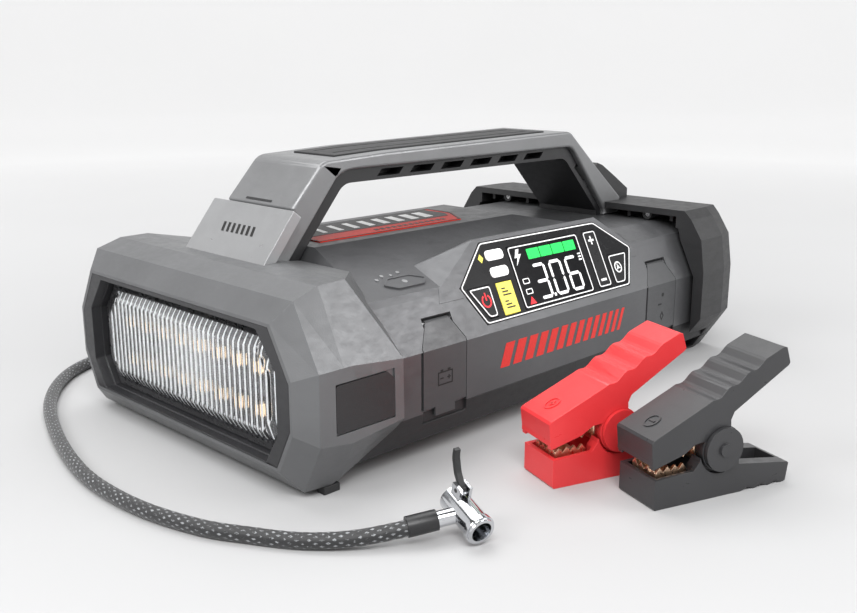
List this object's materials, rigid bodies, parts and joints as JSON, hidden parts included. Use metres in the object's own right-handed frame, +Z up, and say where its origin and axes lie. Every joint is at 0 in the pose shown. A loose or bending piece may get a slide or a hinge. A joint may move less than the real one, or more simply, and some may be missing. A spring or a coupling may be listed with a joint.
{
  "type": "jump starter pack",
  "caption": "Portable jump starter pack with a lamp head, carrying handle, control panel, built-in tyre inflator with braided hose, and loose battery clamps.",
  "frame": {"origin": "on the floor under the middle of the pack, at the centre of its anti-slip base pad", "axes": "+X from the lamp head to the rear bumper, -Y towards the control panel, +Z up"},
  "size_m": [0.358, 0.3586, 0.1258],
  "materials": {
    "shell_grey": "satin",
    "shell_dark": "fine grained",
    "handle_grey": "satin",
    "black_plastic": "matt",
    "rubber_black": "matt",
    "panel_gloss": "glossy",
    "screen": "glossy",
    "yellow_key": "glossy",
    "lamp_white": "glossy",
    "lens_clear": "fluted, clear",
    "reflector": "bright",
    "board": "smooth",
    "label": "printed film",
    "blue_plastic": "moulded",
    "port_metal": "satin",
    "battery_wrap": "shrink film",
    "circuit": "lacquered",
    "pump_metal": "cast",
    "motor_metal": "plated",
    "brass": "turned",
    "steel": "bright",
    "hose_braid": "braided",
    "chrome": "bright",
    "clamp_red": "satin",
    "clamp_black": "satin",
    "copper": "copper plated"
  },
  "bodies": {
    "pack": {"head_shell": "shell_grey", "lamp_bezel": "shell_dark", "lamp_lens": "lens_clear", "lamp_reflector": "reflector", "led_board": "board", "head_pad_near": "black_plastic", "head_pad_far": "black_plastic", "front_feet": "rubber_black", "body_upper_shell": "shell_grey", "body_lower_shell": "shell_dark", "base_pad": "rubber_black", "handle_frame": "handle_grey", "handle_liner": "black_plastic", "handle_grip": "rubber_black", "handle_nose_plate": "handle_grey", "rear_bumper": "shell_dark", "bumper_screws": "steel", "top_label": "label", "control_fascia": "panel_gloss", "display_screen": "screen", "indicator_lamps": "lamp_white", "jump_cover_pin": "steel", "jump_socket": "blue_plastic", "usb_cover_pin": "steel", "usb_socket_block": "port_metal", "battery_pack": "battery_wrap", "control_board": "circuit", "compressor_block": "pump_metal", "compressor_motor": "motor_metal", "hose_gland": "black_plastic", "hose": "hose_braid", "hose_ferrule": "black_plastic", "chuck_body": "chrome", "chuck_seal": "rubber_black"},
    "power_button": {"power_button": "panel_gloss"},
    "unit_button": {"unit_button": "yellow_key"},
    "pump_button": {"pump_button": "panel_gloss"},
    "adjust_rocker": {"adjust_rocker": "panel_gloss"},
    "jump_port_cover": {"jump_port_cover": "shell_dark"},
    "usb_port_cover": {"usb_port_cover": "shell_dark"},
    "motor_rotor": {"motor_rotor": "brass"},
    "crank_gear": {"crank_gear": "steel"},
    "chuck_lever": {"chuck_lever": "black_plastic"},
    "red_clamp": {"red_lower_jaw": "clamp_red", "red_lower_teeth": "copper", "red_spring": "copper", "red_pivot": "clamp_red"},
    "red_clamp_top": {"red_upper_jaw": "clamp_red", "red_upper_teeth": "copper"},
    "black_clamp": {"black_lower_jaw": "clamp_black", "black_lower_teeth": "copper", "black_spring": "copper", "black_pivot": "clamp_black"},
    "black_clamp_top": {"black_upper_jaw": "clamp_black", "black_upper_teeth": "copper"}
  },
  "joints": [
    {"name": "power_press", "type": "slide", "parent": "pack", "child": "power_button", "axis": [0, 0.9018, -0.4321], "range_m": [0, 0.0008], "stiffness_N_per_m": 600, "springref_m": -0.0005},
    {"name": "unit_press", "type": "slide", "parent": "pack", "child": "unit_button", "axis": [0, 0.9018, -0.4321], "range_m": [0, 0.0008], "stiffness_N_per_m": 600, "springref_m": -0.0005},
    {"name": "pump_press", "type": "slide", "parent": "pack", "child": "pump_button", "axis": [0, 0.9018, -0.4321], "range_m": [0, 0.0008], "stiffness_N_per_m": 600, "springref_m": -0.0005},
    {"name": "adjust_rock", "type": "hinge", "parent": "pack", "child": "adjust_rocker", "pos_m": [0.0446, -0.06859, 0.06433], "axis": [1, 0, 0], "range_deg": [-1.6, 1.6], "stiffness_Nm_per_rad": 0.6},
    {"name": "jump_cover_open", "type": "hinge", "parent": "pack", "child": "jump_port_cover", "pos_m": [-0.0746, -0.07562, 0.05706], "axis": [-1, 0, 0], "range_deg": [0, 100]},
    {"name": "usb_cover_open", "type": "hinge", "parent": "pack", "child": "usb_port_cover", "pos_m": [0.0934, -0.07562, 0.05706], "axis": [-1, 0, 0], "range_deg": [0, 100]},
    {"name": "crank_spin", "type": "hinge", "parent": "pack", "child": "crank_gear", "pos_m": [0.067, 0.03, 0.034], "axis": [1, 0, 0], "continuous": true},
    {"name": "motor_spin", "type": "hinge", "parent": "pack", "child": "motor_rotor", "pos_m": [0.067, 0.0016, 0.034], "axis": [1, 0, 0], "continuous": true},
    {"name": "chuck_lock", "type": "hinge", "parent": "pack", "child": "chuck_lever", "pos_m": [-0.12546, -0.13882, 0.01713], "axis": [-0.9703, 0.2419, 0], "range_deg": [0, 35]},
    {"name": "red_clamp_lift", "type": "slide", "parent": "pack", "child": "red_clamp", "axis": [0, 0, 1], "range_m": [0, 0.12]},
    {"name": "red_clamp_squeeze", "type": "hinge", "parent": "red_clamp", "child": "red_clamp_top", "pos_m": [-0.04011, -0.13927, 0.02], "axis": [0.342, 0.9397, 0], "range_deg": [0, 32], "stiffness_Nm_per_rad": 0.6, "springref_deg": -14.32},
    {"name": "black_clamp_lift", "type": "slide", "parent": "pack", "child": "black_clamp", "axis": [0, 0, 1], "range_m": [0, 0.12]},
    {"name": "black_clamp_squeeze", "type": "hinge", "parent": "black_clamp", "child": "black_clamp_top", "pos_m": [-0.02911, -0.17827, 0.02], "axis": [0.342, 0.9397, 0], "range_deg": [0, 32], "stiffness_Nm_per_rad": 0.6, "springref_deg": -14.32}
  ],
  "couplings": [
    {"joint": "motor_spin", "follows": "crank_spin", "ratio": -4}
  ]
}
